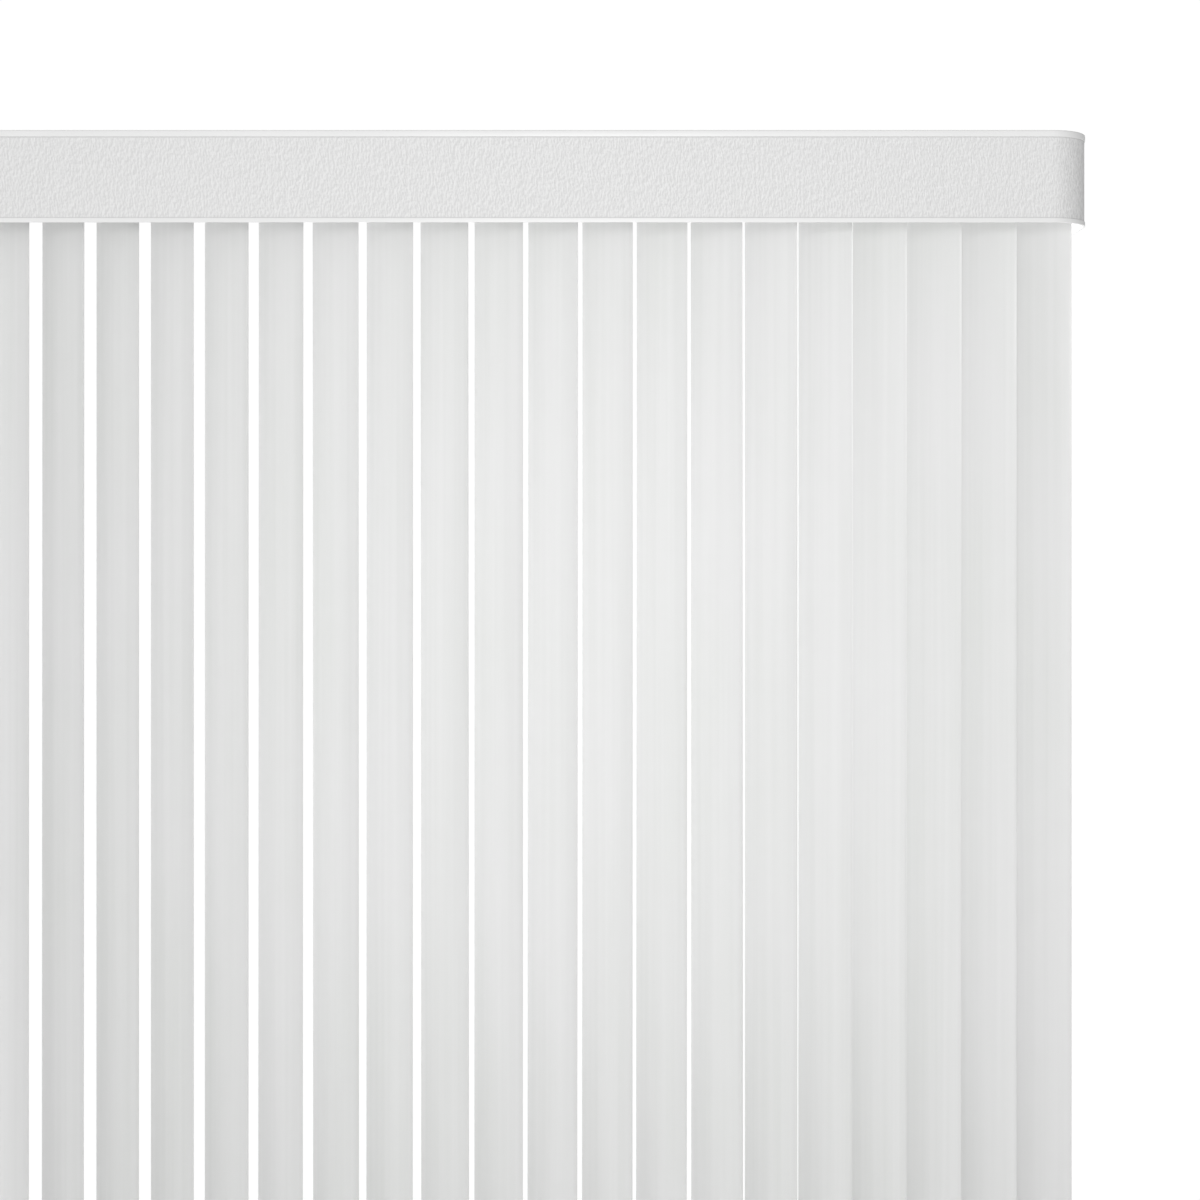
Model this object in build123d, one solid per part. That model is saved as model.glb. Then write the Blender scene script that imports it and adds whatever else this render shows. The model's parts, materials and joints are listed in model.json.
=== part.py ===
from build123d import *
import math
import os

# Vertical blind for an outside mount: curved PVC vanes on a one-way-draw headrail,
# behind a valance with rounded corners. A wand on the lead carrier draws and tilts it.
#
# Frame: millimetres, +Z up, the room at -Y, the wall plane at Y = 0. The origin is midway
# between the two wall screw holes of the middle bracket, on the wall. The vane axes stand
# either side of X = 0, and the vanes gather at the right, +X.

# ------------------------------------------------------------------ vanes
vane_count = 20
vane_pitch = 80.0  # between vane axes when the blind is drawn across
vane_width = 89.0  # along the chord
vane_thickness = 0.8
vane_crown = 6.0  # height of the curve across the chord
vane_angle = 35.0  # between the chord and the rail, right edge to the room
vane_corner = 2.5  # rounding of the vane's corners
drop = 2134.0  # top of the valance to the bottom of the vanes
hanger_hole_width = 7.0
hanger_hole_height = 5.5
hanger_hole_depth = 9.0  # vane's top edge to the middle of its hanger hole

# ------------------------------------------------------------------ standing off the wall
swing_to_wall = 17.5  # turning vanes to the wall
swing_to_valance = 20.5  # turning vanes to the valance's outer face
bracket_top = 20.0  # above the screw holes
valance_rise = 6.0  # valance's top above the brackets

# ------------------------------------------------------------------ headrail
rail_width = 40.0
rail_height = 25.0
rail_wall = 1.3
rail_lip = 1.8  # overhang of the top wall, which the clips hold
right_margin = 0.8  # turning vane to the rail's right end
left_margin = 1.5  # wand's housing to the left end cap's plug

# ------------------------------------------------------------------ tilt rod
rod_radius = 3.0
rod_groove_radius = 0.9
rod_grooves = 3
rod_to_wheel = 0.7
rod_end_play = 0.5

# ------------------------------------------------------------------ stems
wheel_teeth = 12
wheel_root_radius = 4.8
wheel_tip_radius = 6.0
wheel_tooth_width = 1.5
wheel_height = 7.0
shaft_radius = 3.0
shoulder_radius = 4.5
shoulder_height = 1.6
clip_block_height = 3.0
finger_width = 12.0
finger_thickness = 1.2
finger_length = 18.0
nub_width = 5.0
nub_height = 3.5

# ------------------------------------------------------------------ carriers
carrier_length = 20.0
carrier_side_gap = 1.7
chamber_floor = 4.0  # thickness under the wheel
chamber_gap = 0.8  # round the wheel
sleeve_chamber_length = 12.0
sleeve_room = 2.2  # round the rod, for the toothed sleeve
rod_bore_gap = 0.6
neck_wall = 2.0
neck_drop = 2.5  # below the rail
neck_side_gap = 1.0  # to the rail's slot
bridge_length = 3.0  # the loop that the spacer links run through
bridge_bar = 1.2
bridge_inner_post = 2.0
bridge_outer_post = 3.5
link_levels = 5  # links pass over each other at five heights
link_thickness = 0.4
link_gap = 0.25
link_width = 7.0
link_offset = 8.0  # link's middle in front of the vane axes
link_stop_overhang = 1.2
link_stop_length = 3.0
link_play = 1.0
link_side_clearance = 0.2
link_ear_depth = 2.5  # how far a link's ear sits in its post
wand_to_swing = 9.5  # wand's axis to the first vane as it turns
lead_web_height = 3.0

# ------------------------------------------------------------------ carrier stop and end caps
stop_length = 7.0
stop_gap = 0.5
cap_thickness = 3.0
plug_depth = 8.0
cap_screw_radius = 1.6
cap_screw_length = 9.0
cap_screw_head_radius = 3.0
cap_screw_head_height = 1.8
cap_screw_offset = 8.0  # in front of the vane axes
cap_screw_inset = 4.0  # from the rail's end

# ------------------------------------------------------------------ brackets and rail clips
bracket_inset = 140.0  # outer brackets, inside the outermost vane axes
bracket_width = 40.0
bracket_thickness = 2.0
bracket_leg = 34.0  # height of the leg on the wall
bracket_reach = 14.0  # beyond the bolt
bracket_bead_width = 4.0
bracket_bead_depth = 12.0
wall_hole_radius = 2.5
wall_hole_spacing = 22.0
rail_clip_width = 25.0
rail_clip_thickness = 1.2
rail_clip_pad = 20.0
bolt_radius = 2.0
bolt_head_height = 2.4
bolt_head_room = 3.0
nut_height = 3.2
bolt_tail = 1.0  # thread showing over the nut

# ------------------------------------------------------------------ valance
valance_height = 133.0
valance_corner = 58.0
valance_end_gap = 10.0  # end cap to the valance's inner face
valance_wall_gap = 1.0
face_trim = 1.0  # thickness of the trims over the insert
insert_groove = 1.0
valance_panel = 1.2
valance_web = 1.2
top_trim_height = 9.5
bottom_trim_height = 6.5
insert_thickness = 0.8
insert_clearance = 0.1
hook_lip = 1.0
hook_height = 3.3
valance_clip_inset = 30.0  # outer clips, inside the outermost vane axes
valance_clip_width = 22.0
valance_clip_thickness = 1.6
valance_clip_above = 8.0  # valance's top to the clip plate's top
valance_clip_plate = 58.0

# ------------------------------------------------------------------ wand
fork_reach = 6.0  # fork's base to the pin axis
fork_ear = 1.8
fork_half_width = 2.4
cross_half = 2.4
cross_pin_radius = 1.2
coupler_wall = 1.5
coupler_length = 26.0
coupler_cap = 5.0
wand_radius = 4.0  # to the corners of the six-sided rod
wand_length = 1000.0
grip_wall = 0.9  # at its waist
grip_swell = 0.9
grip_length = 110.0
grip_bore_depth = 30.0

# ------------------------------------------------------------------ clearances
running_fit = 0.05  # radial, for shafts and pins that turn
fastener_clearance = 0.2
seat_clearance = 0.05
slide_clearance = 0.2  # carriers on the rail's ledges
moving_clearance = 0.3
hanging_clearance = 0.05
vane_grip_clearance = 0.3

# ------------------------------------------------------------------ places worked out from the sizes
swing = vane_width / 2
vane_radius = (swing**2 + vane_crown**2) / (2 * vane_crown)
axis_y = -(swing + swing_to_wall)
first_vane_x = -vane_pitch * (vane_count - 1) / 2
vane_places = [first_vane_x + vane_pitch * k for k in range(vane_count)]
last_vane_x = vane_places[-1]
bracket_places = (first_vane_x + bracket_inset, 0.0, last_vane_x - bracket_inset)
outer_clip_places = (first_vane_x + valance_clip_inset, last_vane_x - valance_clip_inset)
inner_clip_places = (bracket_places[0] / 2, bracket_places[2] / 2)
wand_x = first_vane_x - swing - wand_to_swing
rail_left = wand_x - carrier_length / 2 - left_margin - plug_depth
rail_right = last_vane_x + swing + right_margin

bracket_underside = bracket_top - bracket_thickness
pad_underside = bracket_underside - rail_clip_thickness
rail_top = pad_underside - bolt_head_room
rail_ceiling = rail_top - rail_wall
rail_bottom = rail_top - rail_height
rail_floor = rail_bottom + rail_wall

carrier_bottom = rail_floor + slide_clearance
bridge_top = rail_ceiling - moving_clearance
window_top = bridge_top - bridge_bar
level_pitch = link_thickness + link_gap
carrier_top = window_top - link_levels * level_pitch - link_gap
carrier_width = rail_width - 2 * rail_wall - 2 * carrier_side_gap
chamber_radius = wheel_tip_radius + chamber_gap
sleeve_chamber_radius = rod_radius + sleeve_room
rod_bore_radius = rod_radius + rod_bore_gap
neck_radius = shaft_radius + neck_wall
rail_slot = 2 * (neck_radius + neck_side_gap)
link_stop_width = link_width + 2 * link_stop_overhang
wheel_seat = carrier_bottom + chamber_floor
wheel_bottom = wheel_seat + running_fit
wheel_top = wheel_bottom + wheel_height
rod_y = axis_y + wheel_tip_radius + rod_to_wheel + rod_radius
rod_z = (wheel_bottom + wheel_top) / 2
neck_bottom = rail_bottom - neck_drop
shoulder_top = neck_bottom - moving_clearance
shoulder_bottom = shoulder_top - shoulder_height
block_bottom = shoulder_bottom - clip_block_height
vane_top = block_bottom - moving_clearance

valance_top = bracket_top + valance_rise
valance_bottom = valance_top - valance_height
valance_front = axis_y - swing - swing_to_valance
valance_depth = face_trim + insert_groove + valance_panel
panel_outside = face_trim + insert_groove
valance_left = rail_left - cap_thickness - valance_end_gap - valance_depth
valance_right = rail_right + cap_thickness + valance_end_gap + valance_depth
vane_bottom = valance_top - drop
clip_plate_top = valance_top - valance_clip_above
clip_plate_bottom = clip_plate_top - valance_clip_plate
bolt_head_radius = 2 * bolt_radius
nut_across_flats = 3.5 * bolt_radius
hook_inside = valance_depth + valance_clip_thickness + 2 * moving_clearance

fork_pin_z = block_bottom - fork_reach
coupler_radius = wand_radius + coupler_wall
coupler_top = fork_pin_z - fork_reach
coupler_bottom = coupler_top - coupler_length
wand_top = coupler_top - coupler_cap
wand_bottom = wand_top - wand_length
grip_waist = wand_radius + grip_wall
grip_radius = grip_waist + grip_swell


# ------------------------------------------------------------------ shapes
def block(x0, x1, y0, y1, z0, z1):
    """A box between two opposite corners."""
    return Pos((x0 + x1) / 2, (y0 + y1) / 2, (z0 + z1) / 2) * Box(
        abs(x1 - x0), abs(y1 - y0), abs(z1 - z0)
    )


def upright(radius, x, y, z0, z1):
    """A cylinder standing along Z."""
    return Pos(x, y, (z0 + z1) / 2) * Cylinder(radius, abs(z1 - z0))


def lengthwise(radius, x0, x1, y, z):
    """A cylinder lying along X."""
    return Pos((x0 + x1) / 2, y, z) * Rot(0, 90, 0) * Cylinder(radius, abs(x1 - x0))


def crosswise(radius, x, y0, y1, z):
    """A cylinder lying along Y."""
    return Pos(x, (y0 + y1) / 2, z) * Rot(90, 0, 0) * Cylinder(radius, abs(y1 - y0))


def section(y0, y1, z0, z1):
    """A rectangle in the rail's cross-section: Y across, Z up."""
    return Plane.YZ * Pos((y0 + y1) / 2, (z0 + z1) / 2) * Rectangle(abs(y1 - y0), abs(z1 - z0))


def along_rail(profile, x0, x1):
    """A cross-section drawn out along the rail from x0 to x1."""
    return Pos(x0, 0, 0) * extrude(profile, x1 - x0)


# ------------------------------------------------------------------ headrail
def make_headrail():
    """The extruded rail: a slotted box section whose top wall overhangs as two lips."""
    half = rail_width / 2
    profile = section(axis_y - half, axis_y + half, rail_bottom, rail_top)
    profile += section(axis_y - half - rail_lip, axis_y + half + rail_lip, rail_ceiling, rail_top)
    profile -= section(axis_y - half + rail_wall, axis_y + half - rail_wall, rail_floor, rail_ceiling)
    profile -= section(axis_y - rail_slot / 2, axis_y + rail_slot / 2, rail_bottom, rail_floor)
    rail = along_rail(profile, rail_left, rail_right)
    for x in cap_screw_places():
        rail -= upright(cap_screw_radius + fastener_clearance, x, cap_screw_y(), rail_ceiling, rail_top)
    return rail


def cap_screw_places():
    return rail_left + cap_screw_inset, rail_right - cap_screw_inset


def cap_screw_y():
    return axis_y - cap_screw_offset


def make_end_cap(rail_end, outward):
    """A cap over the rail's end, with a plug inside the rail and the rod's bearing in the plug."""
    half = rail_width / 2
    cap = block(
        rail_end, rail_end + outward * cap_thickness,
        axis_y - half - rail_lip, axis_y + half + rail_lip,
        rail_bottom, rail_top,
    )
    inside = half - rail_wall - seat_clearance
    plug_end = rail_end - outward * plug_depth
    cap += block(
        rail_end, plug_end,
        axis_y - inside, axis_y + inside,
        rail_floor + seat_clearance, rail_ceiling - seat_clearance,
    )
    cap -= lengthwise(rod_radius + running_fit, rail_end, plug_end, rod_y, rod_z)
    screw_x = rail_end - outward * cap_screw_inset
    screw_bore = cap_screw_radius + seat_clearance
    screw_end = rail_top - cap_screw_length
    cap -= upright(screw_bore, screw_x, cap_screw_y(), screw_end - seat_clearance, rail_top)
    return cap


def make_cap_screws():
    """One pan-head screw for each end cap, down through the rail's top."""
    screws = []
    for x in cap_screw_places():
        screw = upright(cap_screw_radius, x, cap_screw_y(), rail_top - cap_screw_length, rail_top)
        head_top = rail_top + cap_screw_head_height
        screw += upright(cap_screw_head_radius, x, cap_screw_y(), rail_top, head_top)
        screws.append(screw)
    return screws


def make_tilt_rod():
    """A grooved rod from bearing to bearing. Its round lands run in the end caps."""
    profile = Circle(rod_radius)
    for k in range(rod_grooves):
        profile -= Rot(0, 0, 90 + 360 * k / rod_grooves) * Pos(rod_radius, 0) * Circle(rod_groove_radius)
    start = rail_left + rod_end_play
    length = rail_right - rod_end_play - start
    return Pos(start, rod_y, rod_z) * extrude(Plane.YZ * profile, length)


def make_carrier_stop():
    """The stop that locks the last carrier at the rail's right end."""
    start = last_vane_x + carrier_length / 2 + stop_gap
    half = rail_width / 2 - rail_wall - seat_clearance
    stop = block(
        start, start + stop_length,
        axis_y - half, axis_y + half,
        rail_floor + seat_clearance, rail_ceiling - seat_clearance,
    )
    return stop - lengthwise(rod_bore_radius, start, start + stop_length, rod_y, rod_z)


# ------------------------------------------------------------------ carriers
def make_housing(x):
    """A carrier's gear housing: wheel chamber, sleeve chamber, rod bore, and the neck through the slot."""
    half = carrier_length / 2
    body = block(
        x - half, x + half,
        axis_y - carrier_width / 2, axis_y + carrier_width / 2,
        carrier_bottom, carrier_top,
    )
    body += upright(neck_radius, x, axis_y, neck_bottom, carrier_bottom)
    body -= upright(chamber_radius, x, axis_y, wheel_seat, carrier_top)
    body -= upright(shaft_radius + running_fit, x, axis_y, neck_bottom, wheel_seat)
    reach = sleeve_chamber_length / 2
    body -= lengthwise(sleeve_chamber_radius, x - reach, x + reach, rod_y, rod_z)
    body -= block(
        x - reach, x + reach,
        rod_y - sleeve_chamber_radius, rod_y + sleeve_chamber_radius,
        rod_z, carrier_top,
    )
    return body - lengthwise(rod_bore_radius, x - half, x + half, rod_y, rod_z)


def level_height(level):
    """The underside of the links that run at this level."""
    return carrier_top + link_gap + level * level_pitch


def make_carrier(number):
    """A carrier with its link loop. Only the next carrier's link is caught by the loop's two ledges."""
    x = vane_places[number - 1]
    body = make_housing(x)
    link_y = axis_y - link_offset
    window_half = link_stop_width / 2 + link_side_clearance
    x0, x1 = x + carrier_length / 2 - bridge_length, x + carrier_length / 2
    outer, inner = link_y - window_half, link_y + window_half
    body += block(x0, x1, outer - bridge_outer_post, inner + bridge_inner_post, carrier_top, bridge_top)
    body -= block(x0, x1, outer, inner, carrier_top, window_top)
    if number < vane_count:
        caught = level_height((number + 1) % link_levels)
        ledge = link_width / 2 + link_side_clearance
        body += block(x0, x1, outer, link_y - ledge, caught, caught + link_thickness)
        body += block(x0, x1, link_y + ledge, inner, caught, caught + link_thickness)
    if number > 1:
        seat = level_height(number % link_levels)
        body -= block(
            x0, x1,
            outer - link_ear_depth, outer,
            seat - seat_clearance, seat + link_thickness + seat_clearance,
        )
    if number == 1:
        body += make_housing(wand_x)
        body += block(
            wand_x + carrier_length / 2, x - carrier_length / 2,
            axis_y - carrier_width / 2, axis_y + carrier_width / 2,
            carrier_bottom, carrier_bottom + lead_web_height,
        )
    return body


def make_link(number):
    """The spring-steel link from a carrier through the loop of the one before, with a T-shaped stop."""
    x = vane_places[number - 1]
    link_y = axis_y - link_offset
    z0 = level_height(number % link_levels)
    z1 = z0 + link_thickness
    right = x + carrier_length / 2
    loop_left = right - vane_pitch - bridge_length
    stop_right = loop_left - link_play
    stop_left = stop_right - link_stop_length
    link = block(stop_right, right, link_y - link_width / 2, link_y + link_width / 2, z0, z1)
    link += block(stop_left, stop_right, link_y - link_stop_width / 2, link_y + link_stop_width / 2, z0, z1)
    ear_end = link_y - link_stop_width / 2 - link_side_clearance - link_ear_depth
    link += block(right - bridge_length, right, ear_end, link_y - link_width / 2, z0, z1)
    return link


# ------------------------------------------------------------------ vanes and stems
def make_wheel_and_shaft():
    """The upper end of every stem: toothed wheel, shaft and shoulder, on the Z axis."""
    wheel = Circle(wheel_root_radius)
    for k in range(wheel_teeth):
        tooth = Pos(wheel_tip_radius / 2, 0) * Rectangle(wheel_tip_radius, wheel_tooth_width)
        wheel += Rot(0, 0, 360 * k / wheel_teeth) * tooth
    stem = Pos(0, 0, wheel_bottom) * extrude(wheel, wheel_height)
    stem += upright(shaft_radius, 0, 0, shoulder_top, wheel_bottom)
    return stem + upright(shoulder_radius, 0, 0, shoulder_bottom, shoulder_top)


def make_stem():
    """A vane's stem, on the Z axis: below the shoulder, two fingers hold the vane by its hole."""
    gap = vane_thickness / 2 + vane_grip_clearance
    outside = gap + finger_thickness
    half = finger_width / 2
    tip = block_bottom - finger_length
    stem = make_wheel_and_shaft()
    stem += block(-half, half, -outside, outside, block_bottom, shoulder_bottom)
    stem += block(-half, half, -outside, -gap, tip, block_bottom)
    stem += block(-half, half, gap, outside, tip, block_bottom)
    nub_top = hanger_hole_z() + hanger_hole_height / 2 - hanging_clearance
    half_nub = nub_width / 2
    return stem + block(-half_nub, half_nub, hanging_clearance - gap, gap, nub_top - nub_height, nub_top)


def hanger_hole_z():
    return vane_top - hanger_hole_depth


def arc_point(radius, angle):
    """A point on the vane's curve, measured from its crown."""
    return radius * math.sin(angle), vane_radius - radius * math.cos(angle)


def make_vane():
    """A vane, its crown on the Z axis and towards -Y: a thin arc, cut to length with rounded corners."""
    outer = vane_radius + vane_thickness / 2
    inner = vane_radius - vane_thickness / 2
    end = math.asin(swing / vane_radius)
    outline = [
        ThreePointArc(arc_point(outer, -end), arc_point(outer, 0), arc_point(outer, end)),
        Line(arc_point(outer, end), arc_point(inner, end)),
        ThreePointArc(arc_point(inner, end), arc_point(inner, 0), arc_point(inner, -end)),
        Line(arc_point(inner, -end), arc_point(outer, -end)),
    ]
    vane = Pos(0, 0, vane_bottom) * extrude(make_face(outline), vane_top - vane_bottom)
    corners = vane.edges().sort_by(SortBy.LENGTH)[:4]
    vane = fillet(corners, vane_corner)
    hole = RectangleRounded(hanger_hole_width, hanger_hole_height, hanger_hole_height / 4)
    return vane - Pos(0, 0, hanger_hole_z()) * extrude(Plane.XZ * hole, vane_crown, both=True)


# ------------------------------------------------------------------ brackets and clips
def make_wall_bracket(x):
    """An L of steel: a leg on the wall with two screw holes, and a shelf over the rail with a bolt hole."""
    half = bracket_width / 2
    shelf_end = axis_y - bracket_reach
    leg_bottom = bracket_top - bracket_leg
    bracket = block(x - half, x + half, shelf_end, 0, bracket_underside, bracket_top)
    bracket += block(x - half, x + half, -bracket_thickness, 0, leg_bottom, bracket_top)
    corner = (-bracket_thickness, bracket_underside)
    bead = Polyline(
        corner,
        (corner[0] - bracket_bead_depth, corner[1]),
        (corner[0], corner[1] - bracket_bead_depth),
        close=True,
    )
    bead_face = make_face(Plane.YZ * bead)
    bracket += along_rail(bead_face, x - bracket_bead_width / 2, x + bracket_bead_width / 2)
    for side in (-1, 1):
        hole_x = x + side * wall_hole_spacing / 2
        bracket -= crosswise(wall_hole_radius, hole_x, -bracket_thickness, 0, 0)
    bolt_hole = bolt_radius + fastener_clearance
    return bracket - upright(bolt_hole, x, axis_y, bracket_underside, bracket_top)


def lip_hook(side, thickness):
    """The hooked end of a clip, round one of the rail's lips. side is -1 at the room, 1 at the wall."""
    lip_end = rail_width / 2 + rail_lip + moving_clearance
    toe_top = rail_ceiling - moving_clearance
    toe_start = rail_width / 2 + moving_clearance
    outside = axis_y + side * (lip_end + thickness)
    hook = section(axis_y + side * lip_end, outside, toe_top - thickness, rail_top + thickness)
    return hook + section(axis_y + side * toe_start, outside, toe_top - thickness, toe_top)


def make_rail_clips():
    """Spring clips over the rail, each with a raised pad that leaves room for its bolt's head."""
    thickness = rail_clip_thickness
    pad = rail_clip_pad / 2
    profile = section(axis_y - pad - thickness, axis_y + pad + thickness, pad_underside, bracket_underside)
    for side in (-1, 1):
        riser = axis_y + side * pad
        lip_end = axis_y + side * (rail_width / 2 + rail_lip + moving_clearance + thickness)
        profile += section(riser, riser + side * thickness, rail_top, bracket_underside)
        profile += section(riser, lip_end, rail_top, rail_top + thickness)
        profile += lip_hook(side, thickness)
    clips = []
    for x in bracket_places:
        clip = along_rail(profile, x - rail_clip_width / 2, x + rail_clip_width / 2)
        clip -= upright(bolt_radius + fastener_clearance, x, axis_y, pad_underside, bracket_underside)
        clips.append(clip)
    return clips


def make_bracket_bolts():
    bolts = []
    for x in bracket_places:
        bolt = upright(bolt_radius, x, axis_y, pad_underside, bracket_top + nut_height + bolt_tail)
        bolt += upright(bolt_head_radius, x, axis_y, pad_underside - bolt_head_height, pad_underside)
        bolts.append(bolt)
    return bolts


def make_bracket_nuts():
    profile = RegularPolygon(nut_across_flats / 2, 6, major_radius=False)
    profile -= Circle(bolt_radius + seat_clearance)
    nut = extrude(profile, nut_height)
    return [Pos(x, axis_y, bracket_top) * nut for x in bracket_places]


def make_valance_clips():
    """Clips snapped over both rail lips, each with an arm forward to a plate behind the valance."""
    thickness = valance_clip_thickness
    plate_front = valance_front + valance_depth + moving_clearance
    back = axis_y + rail_width / 2 + rail_lip + moving_clearance + thickness
    profile = section(plate_front, back, rail_top, rail_top + thickness)
    profile += lip_hook(-1, thickness)
    profile += lip_hook(1, thickness)
    profile += section(plate_front, plate_front + thickness, clip_plate_bottom, clip_plate_top)
    half = valance_clip_width / 2
    return [along_rail(profile, x - half, x + half) for x in outer_clip_places + inner_clip_places]


# ------------------------------------------------------------------ valance
def plan_outline(inset):
    """The valance seen from above, shrunk by inset: a box open to the wall, front corners rounded."""
    left, right = valance_left + inset, valance_right - inset
    front, back = valance_front + inset, -valance_wall_gap
    outline = Pos((left + right) / 2, (front + back) / 2) * Rectangle(right - left, back - front)
    front_corners = outline.vertices().sort_by(Axis.Y)[:2]
    return fillet(front_corners, valance_corner - inset)


def plan_band(outside, inside, z0, z1):
    """A band that follows the valance's front and returns, between two insets."""
    return Pos(0, 0, z0) * extrude(plan_outline(outside) - plan_outline(inside), z1 - z0)


def make_valance_channel():
    """The extrusion: panel, top and bottom trims over the insert's groove, and two hooks for the clips."""
    inner = valance_depth
    channel = plan_band(panel_outside, inner, valance_bottom, valance_top)
    channel += plan_band(0, inner, valance_top - valance_web, valance_top)
    channel += plan_band(0, face_trim, valance_top - top_trim_height, valance_top)
    channel += plan_band(0, inner, valance_bottom, valance_bottom + valance_web)
    channel += plan_band(0, face_trim, valance_bottom, valance_bottom + bottom_trim_height)
    outer_lip = hook_inside + hook_lip
    upper = clip_plate_top + moving_clearance
    channel += plan_band(inner, outer_lip, upper, upper + valance_web)
    channel += plan_band(hook_inside, outer_lip, upper + valance_web - hook_height, upper)
    lower = clip_plate_bottom - moving_clearance
    channel += plan_band(inner, outer_lip, lower - valance_web, lower)
    channel += plan_band(hook_inside, outer_lip, lower, lower - valance_web + hook_height)
    return channel


def make_valance_insert():
    """The grained strip in the channel's groove, round both corners."""
    outside = face_trim + insert_clearance
    bottom = valance_bottom + valance_web + insert_clearance
    top = valance_top - valance_web - insert_clearance
    return plan_band(outside, outside + insert_thickness, bottom, top)


# ------------------------------------------------------------------ wand
def make_wand_stem():
    """The lead carrier's second stem, with the upper fork of the wand's universal joint."""
    stem = make_wheel_and_shaft()
    inside = cross_half + moving_clearance
    outside = inside + fork_ear
    stem += block(-outside, outside, -fork_half_width, fork_half_width, block_bottom, shoulder_bottom)
    for side in (-1, 1):
        stem += block(
            side * inside, side * outside,
            -fork_half_width, fork_half_width,
            fork_pin_z, block_bottom,
        )
        stem += lengthwise(fork_half_width, side * inside, side * outside, 0, fork_pin_z)
    stem -= lengthwise(cross_pin_radius + running_fit, -outside, outside, 0, fork_pin_z)
    return Pos(wand_x, axis_y, 0) * stem


def make_wand_cross():
    """The joint's cross: a block with four pins."""
    reach = cross_half + moving_clearance + fork_ear
    cross = Pos(0, 0, fork_pin_z) * Box(2 * cross_half, 2 * cross_half, 2 * cross_half)
    cross += lengthwise(cross_pin_radius, -reach, reach, 0, fork_pin_z)
    cross += crosswise(cross_pin_radius, 0, -reach, reach, fork_pin_z)
    return Pos(wand_x, axis_y, 0) * cross


def make_wand_coupler():
    """The lower fork, with the socket that the wand is fixed in."""
    inside = cross_half + moving_clearance
    outside = inside + fork_ear
    coupler = upright(coupler_radius, 0, 0, coupler_bottom, coupler_top)
    for side in (-1, 1):
        coupler += block(
            -fork_half_width, fork_half_width,
            side * inside, side * outside,
            coupler_top, fork_pin_z,
        )
        coupler += crosswise(fork_half_width, 0, side * inside, side * outside, fork_pin_z)
    coupler -= crosswise(cross_pin_radius + running_fit, 0, -outside, outside, fork_pin_z)
    coupler -= upright(wand_radius + seat_clearance, 0, 0, coupler_bottom, wand_top)
    return Pos(wand_x, axis_y, 0) * coupler


def make_wand_rod():
    return Pos(wand_x, axis_y, wand_bottom) * extrude(RegularPolygon(wand_radius, 6), wand_length)


def make_wand_grip():
    """A waisted handle over the wand's lower end."""
    top = wand_bottom + grip_bore_depth
    bottom = top - grip_length
    rounding = grip_radius - grip_waist
    side = Spline(
        (grip_radius, bottom + rounding),
        (grip_waist, (top + bottom) / 2),
        (grip_waist, top),
        tangents=((0, 1), (0, 1)),
    )
    outline = [
        Line((0, bottom), (grip_waist, bottom)),
        Line((grip_waist, bottom), (grip_radius, bottom + rounding)),
        side,
        Line((grip_waist, top), (0, top)),
        Line((0, top), (0, bottom)),
    ]
    grip = revolve(Plane.XZ * make_face(outline), Axis.Z)
    grip -= upright(wand_radius + seat_clearance, 0, 0, wand_bottom - seat_clearance, top)
    return Pos(wand_x, axis_y, 0) * grip


# ------------------------------------------------------------------ the assembly
def save(name, solids):
    """Write one node: a single solid, or a group of separate ones."""
    if isinstance(solids, list):
        solids = Compound(children=solids)
    export_step(solids, os.path.join("parts", name + ".step"))


def main():
    os.makedirs("parts", exist_ok=True)
    save("headrail", make_headrail())
    save("end_cap_left", make_end_cap(rail_left, -1))
    save("end_cap_right", make_end_cap(rail_right, 1))
    save("end_cap_screws", make_cap_screws())
    save("tilt_rod", make_tilt_rod())
    save("carrier_stop", make_carrier_stop())

    bracket_names = ("wall_bracket_left", "wall_bracket_middle", "wall_bracket_right")
    for name, x in zip(bracket_names, bracket_places):
        save(name, make_wall_bracket(x))
    save("rail_clips", make_rail_clips())
    save("bracket_bolts", make_bracket_bolts())
    save("bracket_nuts", make_bracket_nuts())

    save("valance_channel", make_valance_channel())
    save("valance_insert", make_valance_insert())
    save("valance_clips", make_valance_clips())

    stem = make_stem()
    vane = make_vane()
    for number, x in enumerate(vane_places, start=1):
        carrier = make_carrier(number)
        save(f"carrier_{number:02d}", carrier if number == 1 else [carrier, make_link(number)])
        place = Pos(x, axis_y, 0) * Rot(0, 0, -vane_angle)
        save(f"vane_{number:02d}", [place * vane, place * stem])

    save("wand_stem", make_wand_stem())
    save("wand_cross", make_wand_cross())
    save("wand_coupler", make_wand_coupler())
    save("wand_rod", make_wand_rod())
    save("wand_grip", make_wand_grip())


main()
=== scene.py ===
import json
import math
import random

import bmesh
import bpy
from mathutils import Matrix, Vector


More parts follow.
